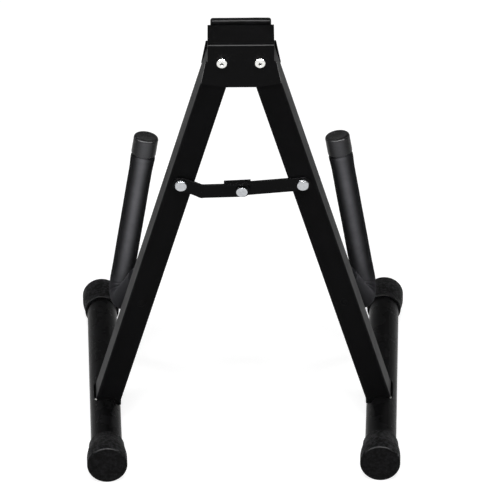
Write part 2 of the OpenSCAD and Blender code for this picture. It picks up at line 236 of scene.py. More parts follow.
@dataclass(frozen=True)
class PowderCoat(Finish):
    """Black polyester powder coat, sprayed and baked on steel.

    It gives the eye a near-black face with a soft sheen, a fine orange peel, and pale light only
    where the surface is seen at a low angle.
    """

    name: str = "black_powder_coat"
    colour: str = "#060606"
    dusty: str = "#0a0a0b"
    roughness: float = 0.22
    ior: float = 1.5
    # The coat's matt resin scatters most of a highlight, so its level is far below full gloss.
    specular: float = 0.034
    broad_mm: float = 22.0
    # The orange peel's real size; it shows only close up.
    fine_mm: float = 1.3
    peel: float = 0.05
    peel_mm: float = 0.2
    # Spots where the coat is knocked off the steel.
    worn_at: tuple[Triple, ...] = ()
    worn_mm: float = 1.0
    ragged_mm: float = 1.1
    bare_steel: str = "#a4a4a1"
    BROAD = (5.0, 0.6)
    FINE = (2.0, 0.4)
    SWING = (0.04, 0.06)

    def skin(self, tree: Tree, place: Links, broad: Socket, fine: Socket) -> Skin:
        """Lays dust over the coat, with its orange peel, and bares the worn spots.

        Args:
            tree: The material's node tree.
            place: Texture coordinates.
            broad: Noise of the dust.
            fine: Noise of the orange peel.

        Returns:
            The coat's skin.
        """
        skin = Skin(
            [(self.dusty, broad)],
            [(self.peel, self.peel_mm, fine)],
            {"IOR": self.ior, "Specular IOR Level": self.specular},
            {"Roughness": self.dulled(tree, broad)},
        )
        if self.worn_at:
            bare = self.chips(tree, place["Object"])
            skin.layers.append((self.bare_steel, bare))
            skin.links["Metallic"] = bare
        return skin

    def chips(self, tree: Tree, place: Socket) -> Socket:
        """Marks the ragged spots where the coat has come off the steel.

        Args:
            tree: The material's node tree.
            place: Object coordinates.

        Returns:
            One on bare steel, else zero.
        """
        grain = {"Scale": per_metre(self.ragged_mm), "Detail": 3.0}
        ragged = add_node(tree, "TexNoise", grain, {"Vector": place})["Fac"]
        widest = {"operation": "MULTIPLY", 1: 2 * self.worn_mm * MM}
        reach = add_node(tree, "Math", widest, {0: ragged})["Value"]
        chips = []
        for spot in self.worn_at:
            middle = {"operation": "DISTANCE", 1: [value * MM for value in spot]}
            away = add_node(tree, "VectorMath", middle, {0: place})["Value"]
            chip = add_node(tree, "Math", {"operation": "LESS_THAN"}, {0: away, 1: reach})
            chips.append(chip["Value"])
        bare = chips[0]
        for chip in chips[1:]:
            bare = add_node(tree, "Math", {"operation": "MAXIMUM"}, {0: bare, 1: chip})["Value"]
        return bare


@dataclass(frozen=True)
class Foam(Finish):
    """Closed-cell NBR foam sleeve, extruded and cut.

    It gives the eye a dull dark skin with fine pores and faint rings where the sleeve was pulled
    over its rod. A painted highlight runs down its face towards the instrument and the lamps,
    and its low end is painted lighter all round.
    """

    name: str = "black_nbr_foam"
    colour: str = "#0f0f10"
    scuffed: str = "#171718"
    # Painted highlight: a lighter band down the face towards the instrument and the lamps.
    rubbed: str = "#545457"
    # Below the elbow the sleeve is painted lighter all the way round, standing for the light on
    # that part's upper side; that fades between two lengths.
    low_end: str = "#202022"
    elbow_mm: Pair = (85.0, 100.0)
    # The painted highlight's middle, turned outwards from the sleeve's inner face.
    rubbed_deg: float = 11.0
    rubbed_power: float = 10.0
    least_rubbed: float = 0.75
    roughness: float = 0.75
    ior: float = 1.45
    specular: float = 0.012
    broad_mm: float = 9.0
    fine_mm: float = 0.8
    pores: float = 0.25
    pore_deep_mm: float = 0.12
    ring_mm: float = 2.2
    # The rings' length round the sleeve is many times their height.
    ring_squeeze: float = 0.12
    rings: float = 0.35
    ring_deep_mm: float = 0.25
    BROAD = (6.0, 0.65)
    FINE = (3.0, 0.6)

    def skin(self, tree: Tree, place: Links, broad: Socket, fine: Socket) -> Skin:
        """Scuffs the sleeve, paints light on its low end and a highlight band, and rings it all
        along.

        Args:
            tree: The material's node tree.
            place: Texture coordinates; UV is way round and length, in metres.
            broad: Noise of the scuffs.
            fine: Noise of the pores.

        Returns:
            The foam's skin.
        """
        squeeze = {"Scale": (self.ring_squeeze, 1.0, 1.0)}
        along = add_node(tree, "Mapping", squeeze, {"Vector": place["UV"]})["Vector"]
        ring = {"Scale": per_metre(self.ring_mm), "Detail": 3.0, "Roughness": 0.55}
        rings = add_node(tree, "TexNoise", ring, {"Vector": along})["Fac"]
        unrolled = add_node(tree, "SeparateXYZ", links={"Vector": place["UV"]})
        fade = {
            "From Min": self.elbow_mm[0] * MM,
            "From Max": self.elbow_mm[1] * MM,
            "To Min": 1.0,
            "To Max": 0.0,
        }
        low = add_node(tree, "MapRange", fade, {"Value": unrolled["Y"]})["Result"]
        return Skin(
            [
                (self.scuffed, broad),
                # Painted light: the low end lighter all round, then the painted highlight band.
                (self.low_end, low),
                (self.rubbed, self.rubbing(tree, unrolled["X"], broad)),
            ],
            [(self.rings, self.ring_deep_mm, rings), (self.pores, self.pore_deep_mm, fine)],
            {
                "IOR": self.ior,
                "Specular IOR Level": self.specular,
                "Roughness": self.roughness,
            },
        )

    def rubbing(self, tree: Tree, way_round: Socket, blotch: Socket) -> Socket:
        """How strong the painted highlight is: most along the sleeve's face towards the
        instrument.

        Args:
            tree: The material's node tree.
            way_round: Length round the sleeve, in metres.
            blotch: Noise that breaks the painted highlight up.

        Returns:
            A value from zero to about one.
        """
        band = way_round
        for operation, *numbers in (
            ("MULTIPLY_ADD", 2 * math.pi / (ROUND_MM * MM), -math.radians(self.rubbed_deg)),
            ("COSINE",),
            ("MAXIMUM", 0.0),
            ("POWER", self.rubbed_power),
        ):
            settings = {"operation": operation, **dict(enumerate(numbers, 1))}
            band = add_node(tree, "Math", settings, {0: band})["Value"]
        span = {"From Min": NOISE_LOW, "From Max": NOISE_HIGH, "To Min": self.least_rubbed}
        patchy = add_node(tree, "MapRange", span, {"Value": blotch})["Result"]
        return add_node(tree, "Math", {"operation": "MULTIPLY"}, {0: band, 1: patchy})["Value"]


@dataclass(frozen=True)
class MouldedRubber(Finish):
    """Black PVC rubber, moulded in a spark-grained tool.

    It gives the eye a dark grey skin with a fine mottle and a dull shine along round edges.
    """

    name: str = "moulded_black_rubber"
    colour: str = "#090909"
    bloom: str = "#111112"
    roughness: float = 0.3
    ior: float = 1.52
    specular: float = 0.06
    # Spark grain is near 0.3 mm; it is drawn at 1.1 mm so that the mottle shows at all.
    fine_mm: float = 1.1
    grain: float = 0.35
    grain_deep_mm: float = 0.12
    broad_mm: float = 7.0
    # The noise at which a patch of bloom starts, and at which it is full.
    patchy: Pair = (0.42, 0.68)
    # The painted highlight's colour on the face towards -Y and the lamps; empty for none.
    rubbed: str = ""
    rubbed_power: float = 6.0
    # The high spots' colour on flanks with a rough tool grain; empty for one finish all over.
    flank: str = ""
    flank_roughness: float = 0.5
    flank_specular: float = 0.008
    # Cosines from the foot's direction between which a flank turns into an end's rim.
    rim: Pair = (0.4, 0.58)
    BROAD = (5.0, 0.6)
    FINE = (4.0, 0.7)
    SWING = (0.06, 0.08)

    def skin(self, tree: Tree, place: Links, broad: Socket, fine: Socket) -> Skin:
        """Lays patches of bloom over the rubber, paints a highlight on its face towards -Y, and
        dresses its flanks.

        Args:
            tree: The material's node tree.
            place: Texture coordinates.
            broad: Noise of the bloom.
            fine: Noise of the grain.

        Returns:
            The rubber's skin.
        """
        span = {"From Min": self.patchy[0], "From Max": self.patchy[1]}
        patch = add_node(tree, "MapRange", span, {"Value": broad})["Result"]
        dull = self.dulled(tree, fine)
        skin = Skin(
            [(self.bloom, patch)],
            [(self.grain, self.grain_deep_mm, fine)],
            {"IOR": self.ior, "Specular IOR Level": self.specular},
            {"Roughness": dull},
        )
        if not (self.rubbed or self.flank):
            return skin
        # The cosine between the skin's normal and -Y, the way to the instrument and along a foot.
        back = {"operation": "DOT_PRODUCT", 1: (0, -1, 0)}
        facing = add_node(tree, "VectorMath", back, {0: place["Normal"]})["Value"]
        # A painted highlight, strongest where the skin faces -Y and the lamps.
        if self.rubbed:
            near = add_node(tree, "Math", {"operation": "MAXIMUM", 1: 0.0}, {0: facing})["Value"]
            power = {"operation": "POWER", 1: self.rubbed_power}
            skin.layers.append((self.rubbed, add_node(tree, "Math", power, {0: near})["Value"]))
        if self.flank:
            along = add_node(tree, "Math", {"operation": "ABSOLUTE"}, {0: facing})["Value"]
            rim = {"From Min": self.rim[0], "From Max": self.rim[1]}
            end = add_node(tree, "MapRange", rim, {"Value": along})["Result"]
            tones = {"data_type": "RGBA", 6: linear(self.flank), 7: linear(self.bloom)}
            skin.layers[0] = (add_node(tree, "Mix", tones, {0: end})[2], patch)
            rough = {2: self.flank_roughness}
            shine = {2: self.flank_specular, 3: self.specular}
            skin.links["Roughness"] = add_node(tree, "Mix", rough, {0: end, 3: dull})[0]
            skin.links["Specular IOR Level"] = add_node(tree, "Mix", shine, {0: end})[0]
        return skin


@dataclass(frozen=True)
class ZincPlate(Finish):
    """Bright zinc plate on cold-headed steel.

    It gives the eye a pale silver shine, a little cloudy, with fine marks from the driver,
    and grey dirt with painted shade in a cross recess, darker the deeper it lies.
    """

    name: str = "bright_zinc_plate"
    colour: str = "#cacccf"
    cloudy: str = "#96989b"
    # Dirt and painted shade in a cross recess, darkest at its deepest point.
    grime: str = "#1c1c1d"
    roughness: float = 0.22
    broad_mm: float = 2.4
    fine_mm: float = 0.7
    marks: float = 0.12
    mark_deep_mm: float = 0.08
    BROAD = (4.0, 0.6)
    FINE = (3.0, 0.5)
    SWING = (0.06, 0.12)

    def skin(self, tree: Tree, place: Links, broad: Socket, fine: Socket) -> Skin:
        """Clouds the plate, marks it and lays dirt and painted shade in its recesses.

        Args:
            tree: The material's node tree.
            place: Texture coordinates; not used.
            broad: Noise of the clouds.
            fine: Noise of the marks.

        Returns:
            The plate's skin.
        """
        held = add_node(tree, "Attribute", {"attribute_name": RECESS})["Fac"]
        return Skin(
            [(self.cloudy, broad), (self.grime, held)],
            [(self.marks, self.mark_deep_mm, fine)],
            {"Metallic": 1.0},
            {"Roughness": self.dulled(tree, broad)},
        )


# Modelling


def select_only(*objects: Piece) -> None:
    """Deselects all, then selects these objects and makes the first one active.

    Args:
        *objects: The objects to select.
    """
    bpy.ops.object.select_all(action="DESELECT")
    for piece in objects:
        piece.select_set(True)
    bpy.context.view_layer.objects.active = objects[0]


@contextmanager
def editing(piece: Piece) -> Iterator[None]:
    """Opens a piece's mesh with all of it selected, and closes it after the work.

    Args:
        piece: The piece to open.

    Yields:
        Nothing, while the mesh is open.
    """
    select_only(piece)
    bpy.ops.object.mode_set(mode="EDIT")
    bpy.ops.mesh.select_all(action="SELECT")
    yield
    bpy.ops.object.mode_set(mode="OBJECT")


def outwards(piece: Piece) -> None:
    """Turns a closed piece's faces outwards."""
    with editing(piece):
        bpy.ops.mesh.normals_make_consistent(inside=False)


def apply_modifier(piece: Piece, kind: str, settings: dict[str, object]) -> None:
    """Adds a modifier with its settings and applies it.

    Args:
        piece: Object that gets the modifier.
        kind: Blender's name of the modifier type.
        settings: The modifier's properties by name.
    """
    modifier = piece.modifiers.new(kind.lower(), kind)
    for name, value in settings.items():
        setattr(modifier, name, value)
    select_only(piece)
    bpy.ops.object.modifier_apply(modifier=modifier.name)


def turned(name: str, outline: Sequence[Pair], around: int = 72) -> Piece:
    """Turns an outline about +Z by extruding and scaling a ring.

    A last radius of 0 closes to a point. Any ring left open is filled flat.

    Args:
        name: Name of the piece.
        outline: Radius and height of each ring, in millimetres.
        around: Points on a ring.

    Returns:
        The turned piece, about the frame's origin.
    """
    radius, height = outline[0]
    bpy.ops.mesh.primitive_circle_add(
        vertices=around, radius=radius * MM, location=(0, 0, height * MM)
    )
    piece = bpy.context.object
    piece.name = piece.data.name = name
    bpy.ops.object.transform_apply(location=True, rotation=False, scale=False)
    with editing(piece):
        for next_radius, next_height in outline[1:]:
            bpy.ops.mesh.extrude_region_move(
                TRANSFORM_OT_translate={"value": (0, 0, (next_height - height) * MM)}
            )
            if next_radius == 0:
                bpy.ops.mesh.merge(type="CENTER")
                break
            scale = next_radius / radius
            if scale != 1:
                bpy.ops.transform.resize(
                    value=(scale, scale, 1), center_override=(0, 0, next_height * MM)
                )
            radius, height = next_radius, next_height
        bpy.ops.mesh.select_all(action="SELECT")
        bpy.ops.mesh.remove_doubles(threshold=0.0005 * MM)
        bpy.ops.mesh.select_all(action="DESELECT")
        bpy.ops.mesh.select_non_manifold()
        bpy.ops.mesh.fill_holes(sides=0)
    outwards(piece)
    return piece


def rounding(
    radius: float, height: float, size: float, start_deg: float, end_deg: float, steps: int
) -> list[Pair]:
    """Radii and heights of an edge rounded about a middle, turning from outwards towards up."""
    turns = [math.radians(start_deg + (end_deg - start_deg) * i / steps) for i in range(steps + 1)]
    return [(radius + size * math.cos(t), height + size * math.sin(t)) for t in turns]


def block(name: str, size: Triple) -> Piece:
    """Makes a rectangular block to be worked on.

    Args:
        name: Name of the piece.
        size: Its lengths along X, Y and Z, in millimetres.

    Returns:
        The block, about the origin.
    """
    bpy.ops.mesh.primitive_cube_add(size=1)
    piece = bpy.context.object
    piece.name = piece.data.name = name
    piece.data.transform(Matrix.Diagonal((*(length * MM for length in size), 1)))
    return piece


def put(piece: Piece, place: Matrix) -> Piece:
    """Moves a piece's mesh to its place, and leaves its object at the origin."""
    piece.data.transform(place)
    return piece


def standing(at: Vector, up: Vector) -> Matrix:
    """Place of a piece at a point in millimetres, its +Z along a direction."""
    return Matrix.Translation(at * MM) @ up.to_track_quat("Z", "Y").to_matrix().to_4x4()


def for_side(piece: Piece, side: Side) -> Piece:
    """Mirrors a piece made for the right side where it is for the left.

    Args:
        piece: The piece, in its place on the right.
        side: The side of the stand that it is for.

    Returns:
        The same piece.
    """
    if side is Side.LEFT:
        piece.data.transform(Matrix.Scale(-1, 4, (1, 0, 0)))
        piece.data.flip_normals()
    return piece


def smooth(piece: Piece, angle_deg: float) -> None:
    """Shades a piece smooth but for edges sharper than the angle."""
    select_only(piece)
    bpy.ops.object.shade_smooth_by_angle(angle=math.radians(angle_deg))


def joined(pieces: Sequence[Piece], name: str) -> Piece:
    """Joins pieces into the first and names it.

    Args:
        pieces: The pieces to join.
        name: Name of the joined piece.

    Returns:
        The joined piece.
    """
    select_only(*pieces)
    bpy.ops.object.join()
    pieces[0].name = pieces[0].data.name = name
    return pieces[0]


def softened(node: str, name: str, width: float, segments: int = 2) -> Piece:
    """Copies a CAD node's mesh with its sharp edges eased, as pressed and coated steel has them.

    Args:
        node: Name of the CAD node.
        name: Name of the new piece.
        width: Width of the eased edges, in millimetres.
        segments: Spans across an eased edge.

    Returns:
        The new piece.
    """
    piece = bpy.data.objects.new(name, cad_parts[node].data.copy())
    piece.data.name = name
    bpy.context.scene.collection.objects.link(piece)
    select_only(piece)
    bpy.ops.mesh.customdata_custom_splitnormals_clear()
    with editing(piece):
        bpy.ops.mesh.remove_doubles(threshold=0.001 * MM)
        bpy.ops.mesh.dissolve_limited(angle_limit=math.radians(0.4))
        bpy.ops.mesh.normals_make_consistent(inside=False)
    apply_modifier(
        piece,
        "BEVEL",
        {
            "width": width * MM,
            "segments": segments,
            "limit_method": "ANGLE",
            "angle_limit": math.radians(40),
            "use_clamp_overlap": True,
        },
    )
    smooth(piece, 40)
    apply_modifier(piece, "WEIGHTED_NORMAL", {"keep_sharp": True, "weight": 80})
    return piece


def swept(
    name: str,
    path: Sequence[Vector],
    inward: Sequence[Vector],
    radius_at: Callable[[float, float], float],
    around: int,
    closed: bool,
) -> Piece:
    """Lays rings along a path, each with its own outline.

    Args:
        name: Name of the piece.
        path: Middle of each ring, in metres.
        inward: Direction of angle zero on each ring.
        radius_at: Radius in metres at a distance along the path and an angle.
        around: Points on a ring.
        closed: Whether the last ring joins the first. If not, both ends stay open.

    Returns:
        The swept skin.
    """
    mesh = bpy.data.meshes.new(name)
    build = bmesh.new()
    unrolled = build.loops.layers.uv.new("UVMap")
    count = len(path)
    rows, distance, distances = [], 0.0, []
    for i, (middle, start) in enumerate(zip(path, inward)):
        ahead = path[(i + 1) % count] if closed or i < count - 1 else path[i]
        behind = path[i - 1] if closed or i else path[0]
        tangent = (ahead - behind).normalized()
        across = tangent.cross(start).normalized()
        first = across.cross(tangent).normalized()
        row = []
        for k in range(around):
            turn = 2 * math.pi * k / around
            way = first * math.cos(turn) + across * math.sin(turn)
            row.append(build.verts.new(middle + way * radius_at(distance, turn)))
        rows.append(row)
        distances.append(distance)
        if i < count - 1:
            distance += (path[i + 1] - middle).length
    for i in range(count if closed else count - 1):
        j = (i + 1) % count
        near, far = distances[i], distances[j] if j else distance
        for k in range(around):
            n = (k + 1) % around
            face = build.faces.new((rows[i][k], rows[i][n], rows[j][n], rows[j][k]))
            face.smooth = True
            corners = ((k, near), (k + 1, near), (k + 1, far), (k, far))
            for loop, (turn, length) in zip(face.loops, corners):
                loop[unrolled].uv = (turn / around * ROUND_MM * MM, length)
    build.to_mesh(mesh)
    build.free()
    piece = bpy.data.objects.new(name, mesh)
    bpy.context.scene.collection.objects.link(piece)
    return piece


def coated(node: str, material: Material) -> None:
    """Puts a finish on a CAD node that shows as it is."""
    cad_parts[node].data.materials.clear()
    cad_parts[node].data.materials.append(material)


def shown_as(piece: Piece, material: Material, slot: str, body: str, *nodes: str) -> None:
    """Dresses a finished piece, sets it riding and lets it stand for its CAD nodes.

    Args:
        piece: The finished piece.
        material: Its finish.
        slot: The record's material slot; not used.
        body: The CAD body that it rides on.
        *nodes: CAD nodes that it stands for.
    """
    piece.data.materials.clear()
    piece.data.materials.append(material)
    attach(piece, body)
    if nodes:
        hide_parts(*nodes)
    log.info("%s: %d faces on %s", piece.name, len(piece.data.polygons), body)


# The stand


@dataclass(frozen=True)
class LeaningPlane:
    """The plane that the legs lie in, leaning back over the feet."""

    lean_deg: float = 10.0
    leg_y: float = -39.6
    foot_z: float = 16.1

    @property
    def forward(self) -> Vector:
        """Direction through the legs' depth, towards the guitar."""
        lean = math.radians(self.lean_deg)
        return Vector((0, math.cos(lean), math.sin(lean)))

    @property
    def upward(self) -> Vector:
        """Direction up along the plane."""
        lean = math.radians(self.lean_deg)
        return Vector((0, -math.sin(lean), math.cos(lean)))

    def point(self, across: float, depth: float, rise: float) -> Vector:
        """A point in metres, from millimetres across, through and up the plane."""
        start = Vector((across, self.leg_y, self.foot_z))
        return (start + self.forward * depth + self.upward * rise) * MM

    def place(self, across: float, depth: float, rise: float) -> Matrix:
        """Place of a piece that stands along the plane."""
        turn = Matrix.Rotation(math.radians(self.lean_deg), 4, "X")
        return Matrix.Translation(self.point(across, depth, rise)) @ turn

    def facing_back(self, across: float, depth: float, rise: float) -> Matrix:
        """Finds the place of a piece whose own +Z points out behind the legs.

        Args:
            across: How far the place is from the middle, in millimetres.
            depth: How far it is through the legs, towards the guitar, in millimetres.
            rise: How far it is up the plane, in millimetres.

        Returns:
            The place, in metres.
        """
        out = -self.forward
        turn = Matrix((self.upward.cross(out), self.upward, out)).transposed().to_4x4()
        return Matrix.Translation(self.point(across, depth, rise)) @ turn


PLANE = LeaningPlane()


@dataclass(frozen=True)
class Finishes:
    """The materials that the pieces share."""

    coat: Material
    tube_coat: Material
    leg_coat: Material
    weld_coat: Material
    foam: Material
    boot: Material
    cap: Material
    pad: Material
    zinc: Material
    bright_zinc: Material


@dataclass(frozen=True)
class Head:
    """The folded bracket with its pad, screws and barrels."""

    finishes: Finishes
    eased: float = 0.22
    pivot_x: float = 14.5
    pivot_rise: float = 353.5
    cheek_out: float = 14.3
    pad_width: float = 46.4
    pad_height: float = 37.0
    pad_depth: float = 6.0
    pad_edge: float = 1.9
    pad_crown: float = 0.5
    pad_wave: float = 0.12
    pad_wavy: float = 2.5
    pad_rise: float = 371.6
    screw_d: float = 8.7
    screw_h: float = 2.7
    screw_rim: float = 1.05
    screw_len: float = 16.0
    shank_d: float = 4.0
    # A blade of the driver that pressed the recess, and what is left of it at its tip.
    blade: Triple = (4.9, 1.15, 3.2)
    blade_tip: Pair = (0.36, 0.7)
    blade_out: float = 0.15
    blades_deg: Pair = (8.0, 98.0)
    # How far the left and the right screw are turned home.
    home_deg: Pair = (-12.0, 17.0)
    recess_r: float = 2.6
    recess_deep: float = 1.1

    def build(self) -> None:
        """Makes and places the head's pieces."""
        bracket = softened("head_bracket", "bent_head_bracket", self.eased)
        shown_as(bracket, self.finishes.coat, "frame_steel", "head", "head_bracket")
        self.build_pad()
        self.build_screws()
        coated("pivot_barrels", self.finishes.zinc)

    def build_pad(self) -> None:
        """Moulds the rubber pad: a slab with rounded edges and an easy crown on its face."""
        half_w, half_h = self.pad_width / 2, self.pad_height / 2
        pad = block("moulded_head_pad", (self.pad_width, self.pad_depth, self.pad_height))
        edge = {"width": self.pad_edge * MM, "segments": 5, "limit_method": "ANGLE"}
        apply_modifier(pad, "BEVEL", edge)
        with editing(pad):
            for axis, half, cuts in (((1, 0, 0), half_w, 24), ((0, 0, 1), half_h, 20)):
                for i in range(1, cuts):
                    at = Vector(axis) * (half * (2 * i / cuts - 1)) * MM
                    bpy.ops.mesh.select_all(action="SELECT")
                    bpy.ops.mesh.bisect(plane_co=at, plane_no=axis)
        for vertex in pad.data.vertices:
            x, y, z = vertex.co / MM
            inner = max((1 - (x / half_w) ** 2) * (1 - (z / half_h) ** 2), 0.0)
            if y > 0:
                vertex.co.y -= self.pad_crown * (1 - inner**0.6) * MM
            if z > half_h - self.pad_wavy:
                wave = noise.noise(Vector((x * 0.09, y * 0.1, z * 0.09)))
                vertex.co.z += self.pad_wave * MM * wave
        smooth(pad, 50)
        depth = self.cheek_out + FIT + self.pad_depth / 2
        put(pad, PLANE.place(0, depth, self.pad_rise - half_h))
        shown_as(pad, self.finishes.pad, "pad_rubber", "head", "head_pad")

    def screw(self) -> Piece:
        """Turns a pan-head screw and presses its cross recess.

        Returns:
            The screw, its head's underside at the origin.
        """
        r, h, rim, shank = self.screw_d / 2, self.screw_h, self.screw_rim, self.shank_d / 2
        outline = [(shank, -self.screw_len), (shank, 0.0), (r - 0.25, 0.0)]
        outline += [(r, 0.25), (r, 0.7), (r - 0.12, rim)]
        crown = (0.985, 0.96, 0.93, 0.89, 0.84, 0.77, 0.66, 0.5, 0.3)
        outline += [(r * q, rim + (h - rim) * (1 - q**9)) for q in crown]
        screw = turned("pan_head_screws", [*outline, (0, h)], 64)
        blades = []
        for turn_deg in self.blades_deg:
            blade = block("driver_blade", self.blade)
            for vertex in blade.data.vertices:
                if vertex.co.z < 0:
                    vertex.co.x *= self.blade_tip[0]
                    vertex.co.y *= self.blade_tip[1]
            apply_modifier(blade, "BEVEL", {"width": 0.12 * MM, "segments": 2})
            turn = Matrix.Rotation(math.radians(turn_deg), 4, "Z")
            blades.append(put(blade, Matrix.Translation((0, 0, (h + self.blade_out) * MM)) @ turn))
        for blade in blades:
            cut = {"object": blade, "operation": "DIFFERENCE", "solver": "EXACT"}
            apply_modifier(screw, "BOOLEAN", cut)
            bpy.data.objects.remove(blade)
        # How deep each point lies in the recess; the zinc is painted darker there, as dirt and
        # painted shade.
        grime = screw.data.attributes.new(RECESS, "FLOAT", "POINT")
        for vertex, held in zip(screw.data.vertices, grime.data):
            x, y, z = vertex.co / MM
            inside = z > 0 and math.hypot(x, y) < self.recess_r
            held.value = min(max((h - z) / self.recess_deep, 0.0), 1.0) if inside else 0.0
        smooth(screw, 35)
        return screw

    def build_screws(self) -> None:
        """Makes the two pan-head screws and turns each home by its own angle."""
        screw = self.screw()
        other = screw.copy()
        other.data = screw.data.copy()
        bpy.context.scene.collection.objects.link(other)
        sides = (-self.pivot_x, self.pivot_x)
        for piece, x, turn_deg in zip((screw, other), sides, self.home_deg):
            place = PLANE.facing_back(x, -self.cheek_out - FIT, self.pivot_rise)
            put(piece, place @ Matrix.Rotation(math.radians(turn_deg), 4, "Z"))
        pair = joined([screw, other], "pan_head_screws")
        shown_as(pair, self.finishes.bright_zinc, "zinc_steel", "head", "pivot_screws")


@dataclass(frozen=True)
class Rivet:
    """A steel rivet with an easy crown on its head, its +Z out of the head."""

    shank_len: float
    head_d: float = 9.7
    head_h: float = 2.7
    shank_d: float = 5.0
    crown: float = 0.5
    tail_d: float = 7.0
    tail_h: float = 1.5

    def build(self, name: str) -> Piece:
        """Turns the rivet.

        Args:
            name: Name of the piece.

        Returns:
            The rivet, its head's underside at the origin.
        """
        r, h, shank, tail = self.head_d / 2, self.head_h, self.shank_d / 2, self.tail_d / 2
        outline = [(shank, -self.shank_len), (shank, 0.0), (r - 0.2, 0.0)]
        if self.tail_h:
            low = -self.shank_len - self.tail_h
            outline = [(tail - 0.3, low), (tail, low + 0.3), (tail, -self.shank_len), *outline]
        outline += [(r, 0.2), (r, 0.7), (r * 0.985, 1.2)]
        outline += [(r * q, h - self.crown * q**2) for q in (0.9, 0.75, 0.6, 0.4, 0.2)]
        rivet = turned(name, [*outline, (0, h)], 64)
        smooth(rivet, 40)
        return rivet


@dataclass(frozen=True)
class Brace:
    """The two links between the legs, with their rivets and the stop tab."""

    finishes: Finishes
    eased: float = 0.42
    rivet_x: float = 47.37
    rivet_rise: float = 236.01
    middle_rise: float = 231.51
    leg_back: float = -12.5
    leg_wall: float = 1.5
    link_back: float = -12.8
    link_t: float = 1.5
    lap_gap: float = 0.3

    def build(self) -> None:
        """Makes and places the links and their rivets."""
        for node in ("left_link", "right_link"):
            link = softened(node, f"{node}_strip", self.eased, 3)
            shown_as(link, self.finishes.coat, "frame_steel", node, node)
        on_leg = self.link_back - self.link_t - FIT
        on_lap = on_leg - self.link_t - self.lap_gap
        left = Rivet(self.leg_back + self.leg_wall + FIT - on_leg)
        right = Rivet(self.link_back - on_leg, tail_h=0)
        middle = Rivet(self.link_back + FIT - on_lap)
        out, high = self.rivet_x, self.rivet_rise
        for name, rivet, place, body, node in (
            ("left", left, (-out, on_leg, high), "left_leg", "left_leg_rivet"),
            ("right", right, (out, on_leg, high), "right_link", "right_link_rivet"),
            ("middle", middle, (0, on_lap, self.middle_rise), "left_link", "middle_rivet"),
        ):
            piece = put(rivet.build(f"{name}_brace_rivet"), PLANE.facing_back(*place))
            shown_as(piece, self.finishes.zinc, "zinc_steel", body, node)
        coated("right_leg_rivet", self.finishes.zinc)


@dataclass(frozen=True)
class WeldBead:
    """The sizes of a rippled and lumpy weld bead, in millimetres."""

    radius: float
    pitch: float
    lumps: float
    lumps_per_m: float
    # Where in the noise the lumps are.
    seed: Pair
    ripples: float = 0.1

    def radius_at(self, distance: float, turn: float) -> float:
        """Radius of the bead, swelling with each ripple.

        Args:
            distance: Metres along the bead.
            turn: Angle round it, which makes no difference.

        Returns:
            The radius in metres.
        """
        ripple = 0.5 + 0.5 * math.cos(2 * math.pi * distance / (self.pitch * MM))
        lump = noise.noise(Vector((distance * self.lumps_per_m, *self.seed)))
        return (self.radius + self.ripples * ripple + self.lumps * lump) * MM


@dataclass(frozen=True)
class SidePart:
    """What the parts that both sides have share. Most are made for the right and mirrored."""

    finishes: Finishes
    side: Side

    def named(self, what: str) -> str:
        """Name of something on this side."""
        return f"{self.side.word}_{what}"

    def show(self, piece: Piece, material: Material, slot: str, *nodes: str) -> None:
        """Shows a finished piece on the side's leg, for CAD nodes named without their side."""
        shown_as(piece, material, slot, self.named("leg"), *map(self.named, nodes))

    def weld(self, node: str, path: Sequence[Vector], bead: WeldBead) -> None:
        """Lays a weld bead along a closed seam.

        Args:
            node: The CAD node that it stands for, without its side.
            path: The points of the right side's seam, in metres.
            bead: The bead's sizes.
        """
        middle = sum(path, Vector()) / len(path)
        inward = [middle - p for p in path]
        piece = swept(self.named(f"{node}_bead"), path, inward, bead.radius_at, 12, closed=True)
        outwards(for_side(piece, self.side))
        self.show(piece, self.finishes.weld_coat, "weld_steel", node)


